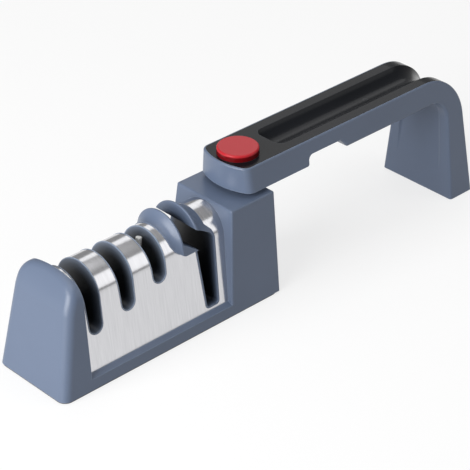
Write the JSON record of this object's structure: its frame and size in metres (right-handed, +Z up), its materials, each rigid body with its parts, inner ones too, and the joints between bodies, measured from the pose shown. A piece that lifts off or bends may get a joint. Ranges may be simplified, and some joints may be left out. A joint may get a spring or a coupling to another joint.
{
  "type": "pull through knife sharpener",
  "caption": "Folding pull through sharpener for knives and scissors, with slotted steel cover, push button and a swinging handle that ends in a leg.",
  "frame": {"origin": "on the table, in the middle of the whole length and width", "axes": "+X along the head towards the leg, +Y across it, +Z up"},
  "size_m": [0.2897, 0.0502, 0.0772],
  "materials": {
    "body_plastic": "satin blue-grey",
    "cover_steel": "finely brushed",
    "grip_charcoal": "satin charcoal",
    "button_red": "gloss red",
    "inner_black": "matt black",
    "carbide": "ground",
    "diamond": "coated, rough",
    "white_ceramic": "fired ceramic",
    "dark_ceramic": "fired ceramic",
    "bright_steel": "bright",
    "pad_rubber": "matt"
  },
  "bodies": {
    "base": {"base_frame": "body_plastic", "core_housing": "body_plastic", "scissors_guide": "body_plastic", "steel_cover": "cover_steel", "base_plate": "inner_black", "coarse_holder": "inner_black", "fine_holder": "inner_black", "polish_holder": "inner_black", "scissors_holder": "inner_black", "carbide_blade_1": "carbide", "carbide_blade_2": "carbide", "diamond_rod_1": "diamond", "diamond_rod_2": "diamond", "ceramic_stick_1": "white_ceramic", "ceramic_stick_2": "white_ceramic", "scissors_rod": "dark_ceramic", "pivot_post": "bright_steel", "pivot_screw": "bright_steel", "pivot_washer": "bright_steel", "retaining_clip": "bright_steel", "button_spring": "bright_steel", "base_screws": "bright_steel", "base_pad": "pad_rubber"},
    "handle": {"handle_body": "body_plastic", "grip_insert": "grip_charcoal", "leg_pad": "pad_rubber", "handle_screws": "bright_steel", "latch_spring": "bright_steel"},
    "release": {"button": "button_red", "release_wedge": "inner_black"}
  },
  "joints": [
    {"name": "handle_fold", "type": "hinge", "parent": "base", "child": "handle", "pos_m": [-0.0089, 0, 0.06], "axis": [0, 0, 1], "range_deg": [0, 180], "deforming": ["latch_spring"]},
    {"name": "button_press", "type": "slide", "parent": "handle", "child": "release", "axis": [0, 0, -1], "range_m": [0, 0.003], "stiffness_N_per_m": 800, "springref_m": -0.002, "deforming": ["button_spring", "latch_spring"]}
  ]
}
